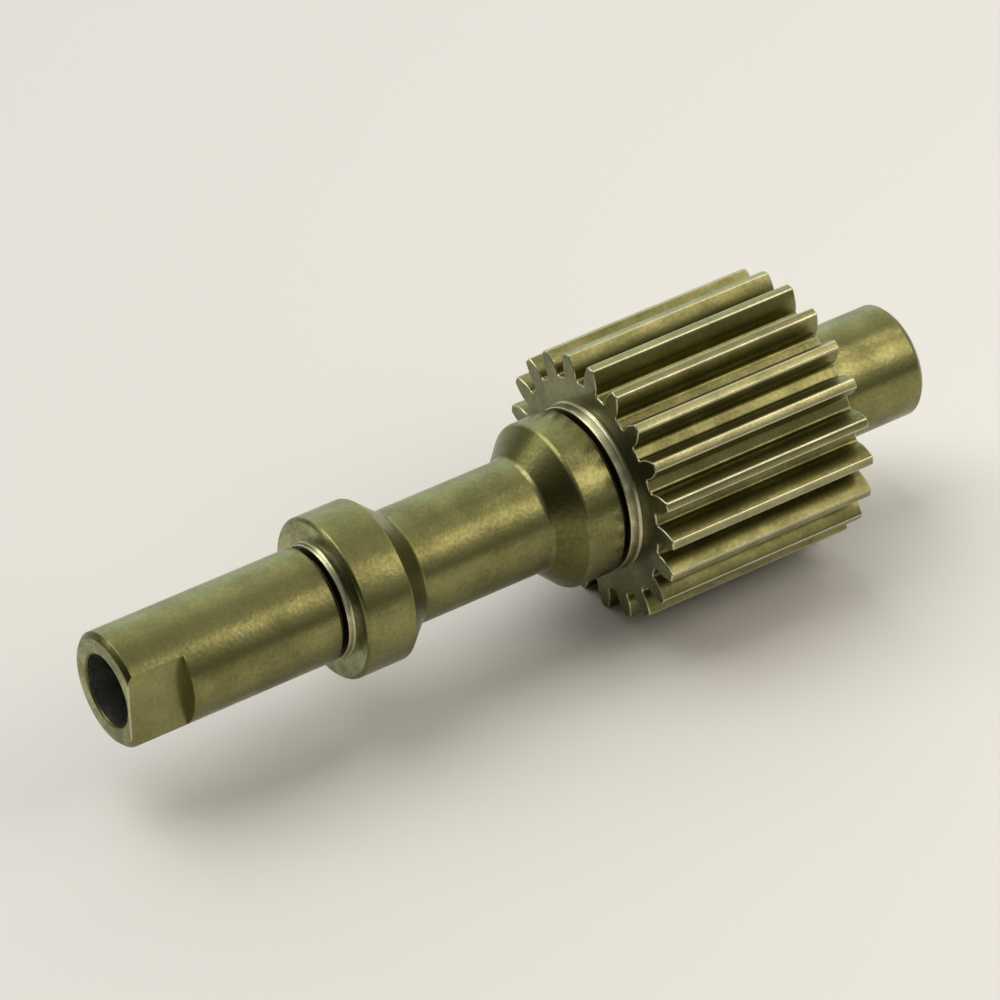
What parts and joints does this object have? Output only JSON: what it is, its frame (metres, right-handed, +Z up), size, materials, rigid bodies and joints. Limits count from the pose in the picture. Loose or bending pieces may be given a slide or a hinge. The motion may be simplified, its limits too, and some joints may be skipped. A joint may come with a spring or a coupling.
{
  "type": "idler gear",
  "caption": "Spur idler gear cut on its own shaft, with ground journals, a collar, a coned ring seat and a bored end with a driving flat.",
  "frame": {"origin": "on the shaft's axis, at the middle of the teeth", "axes": "+X along the axis from the bored end to the far end, +Z up as the part lies at rest, with a tooth space straight down"},
  "size_m": [0.0938, 0.0284, 0.0284],
  "materials": {
    "steel": "fine turned and ground, oiled, satin"
  },
  "bodies": {
    "root": {"gear_shaft": "steel"}
  },
  "joints": []
}
